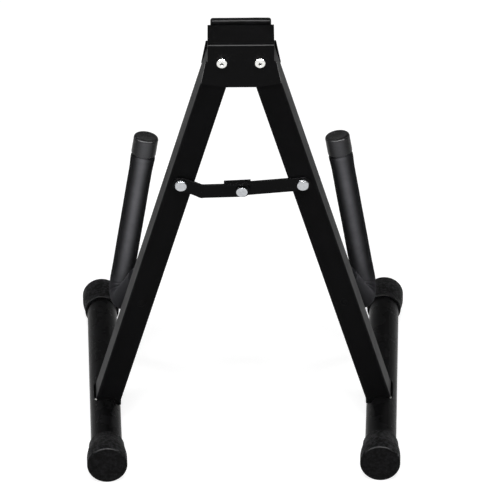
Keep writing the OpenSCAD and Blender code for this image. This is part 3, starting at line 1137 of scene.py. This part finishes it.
@dataclass(frozen=True)
class Foot(SidePart):
    """A foot tube's boots, and the weld that holds the leg down on it."""

    foot_x: float = 113.4
    splay_deg: float = 2.723
    foot_len: float = 276.0
    foot_d: float = 25.0
    boot_len: float = 29.0
    thick_len: float = 11.0
    boot_d: float = 32.2
    mouth_d: float = 28.7
    heel_edge: float = 1.8
    mouth_edge: float = 0.7
    boot_cap: float = 4.0
    leg_w: float = 20.0
    leg_d: float = 25.0
    leg_deg: float = 15.6302
    # The seam runs this far out of the leg's and the foot's faces.
    seam_out: float = 0.5
    # How square the seam's corners are: 2 would be an ellipse.
    squareness: float = 9.0
    seam_points: int = 150

    @property
    def along(self) -> Vector:
        """Direction of the right foot, towards the guitar."""
        turn = math.radians(self.splay_deg)
        return Vector((math.sin(turn), math.cos(turn), 0))

    @property
    def under_leg(self) -> Vector:
        """Point of the right foot's axis under the leg, in millimetres."""
        return Vector((self.foot_x, PLANE.leg_y, PLANE.foot_z))

    def build(self) -> None:
        """Makes and places the boots and the weld."""
        coated(self.named("foot_tube"), self.finishes.tube_coat)
        middle = self.under_leg - self.along * (PLANE.leg_y / self.along.y)
        for end, sign in (("rear", -1), ("front", 1)):
            boot = self.boot(self.named(f"{end}_rubber_boot"))
            face = middle + self.along * (sign * self.foot_len / 2)
            for_side(put(boot, standing(face, self.along * -sign)), self.side)
            self.show(boot, self.finishes.boot, "boot_rubber", f"{end}_boot")
        turns = [2 * math.pi * i / self.seam_points for i in range(self.seam_points)]
        seam = [self.seam_point(turn) * MM for turn in turns]
        seed = (3.0 * self.side.value, 0.0)
        self.weld("foot_weld", seam, WeldBead(0.86, 1.9, lumps=0.26, lumps_per_m=190, seed=seed))

    def boot(self, name: str) -> Piece:
        """Turns a boot: rounded end, thick heel, easy taper and a thin rolled mouth.

        Args:
            name: Name of the piece.

        Returns:
            The boot, its closed end at the origin and its mouth up +Z.
        """
        heel, mouth = self.boot_d / 2, self.mouth_d / 2
        bore = self.foot_d / 2 + FIT
        taper = self.boot_len - 1.0 - self.thick_len
        spans = 14
        outline = [(heel - self.heel_edge - 0.3, 0.0)]
        outline += rounding(heel - self.heel_edge, self.heel_edge, self.heel_edge, -88, 0, 8)
        for i in range(spans + 1):
            wide = (1 + math.cos(math.pi * i / spans)) / 2
            outline.append((mouth + (heel - mouth) * wide, self.thick_len + taper * i / spans))
        rim = self.mouth_edge
        top = self.boot_len
        outline += rounding(mouth - rim, top - rim, rim, 15, 90, 4)
        outline += [(bore + 0.4, top), (bore, top - 0.4), (bore, self.boot_cap)]
        boot = turned(name, outline, 96)
        smooth(boot, 40)
        return boot

    def seam_point(self, turn: float) -> Vector:
        """Where the leg's outline meets the foot tube, at a turn about the leg's axis.

        Args:
            turn: Angle about the leg's axis, in radians.

        Returns:
            The point of the right side's seam, in millimetres.
        """
        lean_side = math.radians(self.leg_deg)
        down = Vector((math.sin(lean_side), 0, 0)) - PLANE.upward * math.cos(lean_side)
        across = Vector((math.cos(lean_side), 0, 0)) + PLANE.upward * math.sin(lean_side)
        half_w, half_d = self.leg_w / 2 + self.seam_out, self.leg_d / 2 + self.seam_out
        u, v, power = math.cos(turn), math.sin(turn), self.squareness
        reach = ((abs(u) / half_w) ** power + (abs(v) / half_d) ** power) ** (-1 / power)
        offset = across * (u * reach) + PLANE.forward * (v * reach)
        aside, fall = (way - self.along * way.dot(self.along) for way in (offset, down))
        slope = aside.dot(fall) / fall.length_squared
        tube_r = self.foot_d / 2 + self.seam_out
        span = (tube_r**2 - aside.length_squared) / fall.length_squared
        return self.under_leg + offset - down * (slope + math.sqrt(slope**2 + span))


@dataclass(frozen=True)
class Leg(SidePart):
    """A leg tube, and the end of the arm's tenon that shows in its back."""

    eased: float = 0.25
    arm_x: float = 81.2103
    arm_rise: float = 115.06
    leg_back: float = -12.5
    tenon_d: float = 7.2

    def build(self) -> None:
        """Makes and places the leg and the tenon's end."""
        leg = softened(self.named("leg_tube"), self.named("leg_profile"), self.eased)
        self.show(leg, self.finishes.leg_coat, "frame_steel", "leg_tube")
        plug = self.tenon_end(self.named("tenon_end"))
        across = self.side.value * self.arm_x
        put(plug, PLANE.facing_back(across, self.leg_back, self.arm_rise))
        self.show(plug, self.finishes.leg_coat, "weld_steel")

    def tenon_end(self, name: str) -> Piece:
        """Turns the arm's riveted tenon end: a low ring with a dished middle.

        Args:
            name: Name of the piece.

        Returns:
            The tenon end, its rim at the origin's height and its face up +Z.
        """
        r = self.tenon_d / 2
        outline = [(r - 0.6, -0.5), (r, -0.1), (r - 0.1, 0.1), (r - 0.4, 0.26), (r - 0.9, 0.32)]
        outline += [(r - 1.4, 0.24), (r - 1.9, 0.06), (r - 2.6, -0.1), (0, -0.16)]
        plug = turned(name, outline, 40)
        smooth(plug, 60)
        return plug


@dataclass(frozen=True)
class Arm(SidePart):
    """A cradle arm's foam sleeve, rubber cap and weld, round its CAD rod."""

    corner: Triple = (81.2103, -37.4211, 133.3152)
    elbow: Triple = (104.8103, 32.5789, 63.3152)
    tip: Triple = (77.2103, 32.5789, 223.3152)
    rod_r: float = 4.0
    foam_r: float = 9.5
    bore_r: float = 4.1
    bend_r: float = 13.0
    foam_start: float = 7.0
    cap_len: float = 15.5
    cap_r: float = 10.1
    cap_edge: float = 1.9
    cap_end: float = 3.5
    # The sleeve's flare under its cap: how far out, how long, and how far from the end it is full.
    flare: Triple = (0.5, 14.0, 2.0)
    # Its cut low end and its pinched top end: how deep and how long.
    cut: Pair = (0.7, 1.2)
    pinch: Pair = (2.3, 3.2)
    # Its swells and rings: how high and how far apart.
    swell: Pair = (0.14, 26.0)
    ring: Pair = (0.07, 1.7)
    # At the bend: how far along it is felt, how far the sides bulge and the outside thins.
    bend: Triple = (15.0, 0.55, 0.5)
    # The creases inside the bend and the lips between them: where from its middle, how deep or
    # high, and half how wide.
    creases: tuple[Triple, ...] = ((0.6, 1.9, 1.1), (-6.2, 0.7, 1.0), (7.4, 0.8, 1.1))
    lips: tuple[Triple, ...] = ((-3.0, 0.5, 2.0), (4.0, 0.55, 2.1))
    # Both rims of a sleeve's end lie within this of its middle.
    rims_within: float = 14.0
    around: int = 72
    # From the rod's corner back to the leg's front face.
    leg_front: float = 10.0
    bead_out: float = 0.75

    def centreline(self, step: float) -> tuple[list[Vector], list[Vector], float]:
        """Points along the right sleeve's middle.

        Args:
            step: Distance between points, in millimetres.

        Returns:
            The points and the directions to the bend's inside, in metres, and the distance from
            the start to the middle of the bend, in millimetres.
        """
        corner, elbow, tip = Vector(self.corner), Vector(self.elbow), Vector(self.tip)
        back, up = (corner - elbow).normalized(), (tip - elbow).normalized()
        half = back.angle(up) / 2
        centre = elbow + (back + up).normalized() * (self.bend_r / math.sin(half))
        side = back.cross(up).normalized()
        start = corner - back * self.foam_start
        end = tip - up * (self.cap_len + FIT)
        first = elbow + back * (self.bend_r / math.tan(half))
        length = (first - start).length
        count = round(length / step)
        points = [start.lerp(first, i / count) for i in range(count)]
        inside = [(centre - first).normalized()] * count
        turn = math.pi - 2 * half
        arc = self.bend_r * turn
        # The bend's points stand closer together than those of its straight ends.
        spans = round(arc / (step * 0.6))
        for i in range(spans + 1):
            spun = Matrix.Rotation(-turn * i / spans, 3, side) @ (first - centre)
            points.append(centre + spun)
            inside.append(-spun.normalized())
        last = points[-1]
        count = round((end - last).length / step)
        points += [last.lerp(end, i / count) for i in range(1, count + 1)]
        inside += [inside[-1]] * count
        return [p * MM for p in points], inside, length + arc / 2

    def build(self) -> None:
        """Makes and places the sleeve, the cap and the weld."""
        coated(self.named("arm_rod"), self.finishes.coat)
        self.build_foam()
        self.build_cap()
        hub = Vector(self.corner) * MM - PLANE.forward * (self.leg_front - self.bead_out) * MM
        turns = [2 * math.pi * i / self.around for i in range(self.around)]
        ways = [Vector((1, 0, 0)) * math.cos(t) + PLANE.upward * math.sin(t) for t in turns]
        seam = [hub + way * (self.rod_r + self.bead_out) * MM for way in ways]
        seed = (5.0 * self.side.value, 2.0)
        self.weld("arm_weld", seam, WeldBead(0.66, 1.87, lumps=0.12, lumps_per_m=240, seed=seed))

    def build_foam(self) -> None:
        """Makes the sleeve, creased inside its bend."""
        points, inside, bend_at = self.centreline(1.0)
        total = sum((b - a).length for a, b in zip(points, points[1:])) / MM
        seed = 7.0 * self.side.value

        def skin(distance: float, turn: float) -> float:
            """Radius of the sleeve's outside, in metres.

            Args:
                distance: Metres along the sleeve.
                turn: Angle from the bend's inside, in radians.

            Returns:
                The radius: flared under the cap, cut and pinched at the ends, swollen, ringed,
                and folded into creases with lips between them inside the bend.
            """
            s, left = distance / MM, total - distance / MM
            facing, aside = math.cos(turn), math.sin(turn)
            (wide, long, full), (deep, short) = self.flare, self.cut
            flare = min(max((long + full - left) / long, 0.0), 1.0)
            radius = self.foam_r + wide * flare * flare * (3 - 2 * flare)
            radius -= deep * max(0.0, 1 - s / short) ** 2
            deep, short = self.pinch
            deep += noise.noise(Vector((facing, aside, seed)))
            radius -= deep * max(0.0, 1 - left / short) ** 2
            high, apart = self.swell
            radius += high * noise.noise(Vector((s / apart, facing * 0.6, aside * 0.6 + seed)))
            high, apart = self.ring
            radius += high * noise.noise(Vector((s / apart, facing * 0.35 + seed, aside * 0.35)))
            off = s - bend_at
            inner, outer = max(facing, 0.0) ** 0.8, max(-facing, 0.0)
            felt, bulge, thinned = self.bend
            radius += math.exp(-((off / felt) ** 2)) * (bulge * aside**2 - thinned * outer)
            for at, deep, wide in self.creases:
                bent = at + 0.5 * math.sin(turn * 2 + seed)
                radius -= deep * inner * math.exp(-(((off - bent) / wide) ** 2))
            for at, high, wide in self.lips:
                radius += high * inner * math.exp(-(((off - at) / wide) ** 2))
            return radius * MM

        bore = self.bore_r * MM
        outside = swept("skin", points, inside, skin, self.around, closed=False)
        coarse, coarse_in, _ = self.centreline(5.0)
        lining = swept("lining", coarse, coarse_in, lambda s, t: bore, self.around, closed=False)
        sleeve = joined([outside, lining], self.named("foam_sleeve"))
        for end in (points[0], points[-1]):
            with editing(sleeve):
                bpy.ops.mesh.select_all(action="DESELECT")
                bpy.ops.mesh.select_mode(type="EDGE")
                bpy.ops.mesh.select_non_manifold()
                bpy.ops.object.mode_set(mode="OBJECT")
                for edge in sleeve.data.edges:
                    first = sleeve.data.vertices[edge.vertices[0]].co
                    if edge.select and (first - end).length > self.rims_within * MM:
                        edge.select = False
                bpy.ops.object.mode_set(mode="EDIT")
                bpy.ops.mesh.bridge_edge_loops()
        outwards(sleeve)
        smooth(for_side(sleeve, self.side), 50)
        self.show(sleeve, self.finishes.foam, "foam_sleeve", "arm_foam")

    def build_cap(self) -> None:
        """Turns the rubber cap on the arm's tip."""
        r, edge, bore = self.cap_r, self.cap_edge, self.rod_r + FIT
        outline = [(bore, self.cap_end), (bore, self.cap_len), (r - 0.45, self.cap_len)]
        outline += [(r - 0.1, self.cap_len - 0.25), (r, self.cap_len - 0.8)]
        outline += [(r, 9.0), (r - 0.05, 4.5), *rounding(r - edge, edge, edge, 0, -90, 7)]
        outline += [(r - 3.4, 0.05), (r - 6.0, 0.25), (0.6, 0.3)]
        cap = turned(self.named("arm_rubber_cap"), outline)
        smooth(cap, 40)
        tip = Vector(self.tip)
        for_side(put(cap, standing(tip, (Vector(self.elbow) - tip).normalized())), self.side)
        self.show(cap, self.finishes.cap, "cap_rubber", "arm_cap")


# The studio


@dataclass(frozen=True)
class Lamp:
    """A soft rectangular lamp that points at the stand and that mirrored rays don't see."""

    name: str
    at: Triple
    size: Pair
    watts: float
    aim: Triple = (0.0, 0.0, 0.17)

    def build(self) -> None:
        """Hangs the lamp."""
        data = bpy.data.lights.new(self.name, "AREA")
        data.shape = "RECTANGLE"
        data.size, data.size_y = self.size
        data.energy = self.watts
        lamp = bpy.data.objects.new(self.name, data)
        lamp.visible_glossy = False
        bpy.context.scene.collection.objects.link(lamp)
        lamp.location = self.at
        way = Vector(self.aim) - Vector(self.at)
        lamp.rotation_euler = way.to_track_quat("-Z", "Y").to_euler()


@dataclass(frozen=True)
class Studio:
    """Camera, floor, lamps and world."""

    camera_at: Triple = (0.003, -2.6584, 1.6104)
    pitch_deg: float = 60.976
    yaw_deg: float = -0.068
    roll_deg: float = -0.33
    lens_mm: float = 269.0
    sensor_mm: float = 36.0
    lamps: tuple[Lamp, ...] = (
        Lamp("camera_side_bank", (-0.2, -4.1, 0.75), (1.2, 0.9), 140.0),
        Lamp("overhead_bank", (0.0, -1.55, 2.85), (1.8, 0.3), 72.0),
    )
    paper: str = "#a8a8a8"
    glow: float = 0.82
    floor_m: float = 16.0
    fill: float = 0.12
    ceiling: float = 0.45
    # An arched softbox high behind the camera, which only mirrored rays see: its strength, how
    # far it comes down to the sides, its middle's height, half its width and its front edge.
    strip: float = 52.0
    arch: float = 0.28
    strip_at: float = 0.88
    strip_half: float = 0.13
    strip_back: float = -0.2
    # Heights of the look between which the walls fade into the ceiling.
    wall_top: Pair = (0.12, 0.42)

    def build(self) -> None:
        """Builds the camera first, then the floor, lamps and world."""
        self.build_camera()
        for lamp in self.lamps:
            lamp.build()
        self.build_floor()
        self.build_world()
        bpy.context.scene.view_settings.view_transform = "Standard"

    def build_camera(self) -> None:
        """Stands the camera where the photograph was taken from."""
        data = bpy.data.cameras.new("photo_camera")
        data.lens = self.lens_mm
        data.sensor_width = self.sensor_mm
        data.clip_start, data.clip_end = 0.05, 50.0
        camera = bpy.data.objects.new("photo_camera", data)
        bpy.context.scene.collection.objects.link(camera)
        camera.matrix_world = Matrix.Translation(self.camera_at)
        turns = ((self.yaw_deg, "Z"), (self.pitch_deg, "X"), (self.roll_deg, "Z"))
        for degrees, axis in turns:
            camera.matrix_world @= Matrix.Rotation(math.radians(degrees), 4, axis)
        bpy.context.scene.camera = camera

    @staticmethod
    def seen_rays(tree: Tree) -> Socket:
        """One for rays from the camera, from gloss and through glass, else zero.

        Args:
            tree: The node tree that asks.

        Returns:
            The socket with that value.
        """
        path = add_node(tree, "LightPath")
        seen = path["Is Camera Ray"]
        for name in ("Is Glossy Ray", "Is Transmission Ray"):
            rays = {0: seen, 1: path[name]}
            seen = add_node(tree, "Math", {"operation": "MAXIMUM"}, rays)["Value"]
        return seen

    def build_floor(self) -> None:
        """Lays a plain pale floor that takes the stand's shadow."""
        bpy.ops.mesh.primitive_plane_add(size=self.floor_m)
        floor = bpy.context.object
        floor.name = floor.data.name = "studio_floor"
        material = bpy.data.materials.new("white_paper_floor")
        tree = cleared(material)
        paper = add_node(tree, "BsdfDiffuse", {"Color": linear(self.paper)})["BSDF"]
        seen = {0: self.seen_rays(tree)}
        lift = add_node(tree, "Math", {"operation": "MULTIPLY", 1: self.glow}, seen)["Value"]
        glow = add_node(tree, "Emission", {"Color": linear("#ffffff")}, {"Strength": lift})
        both = add_node(tree, "AddShader", links={0: paper, 1: glow["Emission"]})["Shader"]
        add_node(tree, "OutputMaterial", links={"Surface": both})
        floor.data.materials.append(material)

    def build_world(self) -> None:
        """Makes a white backdrop all round, a dim ceiling, the softbox and a plain fill."""
        world = bpy.data.worlds.new("studio_world")
        bpy.context.scene.world = world
        tree = cleared(world)
        way = add_node(tree, "TexCoord")["Generated"]
        axes = add_node(tree, "SeparateXYZ", links={"Vector": way})
        low, high = self.wall_top
        span = {"From Min": low, "From Max": high, "To Min": 1.0, "To Max": self.ceiling}
        walls = add_node(tree, "MapRange", span, {"Value": axes["Z"]})["Result"]
        value = add_node(tree, "Math", {"operation": "ABSOLUTE"}, {0: axes["X"]})["Value"]
        below = {"operation": "LESS_THAN", 1: self.strip_back}
        behind = add_node(tree, "Math", below, {0: axes["Y"]})["Value"]
        for settings, links in (
            ({"operation": "MULTIPLY_ADD", 1: self.arch}, {2: axes["Z"]}),
            ({"operation": "COMPARE", 1: self.strip_at, 2: self.strip_half}, {}),
            ({"operation": "MULTIPLY"}, {1: behind}),
            ({"operation": "MULTIPLY_ADD", 1: self.strip}, {2: walls}),
        ):
            value = add_node(tree, "Math", settings, {0: value, **links})["Value"]
        seen = {0: self.seen_rays(tree), 3: value}
        unlit = add_node(tree, "Mix", {2: self.fill}, seen)[0]
        camera = add_node(tree, "LightPath")["Is Camera Ray"]
        white = add_node(tree, "Math", {"operation": "MAXIMUM"}, {0: unlit, 1: camera})["Value"]
        shell = add_node(tree, "Background", {"Color": linear("#ffffff")}, {"Strength": white})
        add_node(tree, "OutputWorld", links={"Surface": shell["Background"]})


def main() -> None:
    """Builds the studio and the stand in order."""
    logging.basicConfig(level=logging.INFO, format="%(message)s")
    Studio().build()
    # The legs' low rear corners, where the coat is knocked off: across, through and up.
    low_corners = ((120.3, -12.9, 13.3), (100.9, -12.9, 6.8))
    corners = tuple(
        tuple(PLANE.point(side.value * x, depth, rise) / MM)
        for side in Side
        for x, depth, rise in low_corners
    )
    finishes = Finishes(
        coat=PowderCoat().build(),
        tube_coat=PowderCoat(
            "black_tube_coat", "#090909", roughness=0.26, dusty="#0d0d0e", specular=0.011
        ).build(),
        leg_coat=PowderCoat(
            "black_leg_coat", roughness=0.44, specular=0.015, worn_at=corners
        ).build(),
        weld_coat=PowderCoat(
            "black_weld_coat",
            "#050505",
            roughness=0.6,
            dusty="#090909",
            specular=0.0,
            peel=0.3,
            worn_at=corners,
        ).build(),
        foam=Foam().build(),
        boot=MouldedRubber(
            "foot_boot_rubber",
            "#050505",
            bloom="#121213",
            flank="#262627",
            broad_mm=2.8,
            specular=0.036,
            fine_mm=2.0,
            grain=1.0,
            grain_deep_mm=0.3,
        ).build(),
        # The cap gets a painted highlight on its side towards -Y and the lamps.
        cap=MouldedRubber(
            "arm_cap_rubber", specular=0.08, broad_mm=3.0, rubbed="#3e3e40"
        ).build(),
        pad=MouldedRubber("head_pad_rubber", specular=0.04, fine_mm=0.9).build(),
        zinc=ZincPlate().build(),
        bright_zinc=ZincPlate(
            "polished_zinc_plate", "#ebebe8", roughness=0.18, cloudy="#cfcfcc"
        ).build(),
    )
    Head(finishes).build()
    Brace(finishes).build()
    for side in Side:
        for part in (Leg, Foot, Arm):
            part(finishes, side).build()


if __name__ == "__main__":
    main()
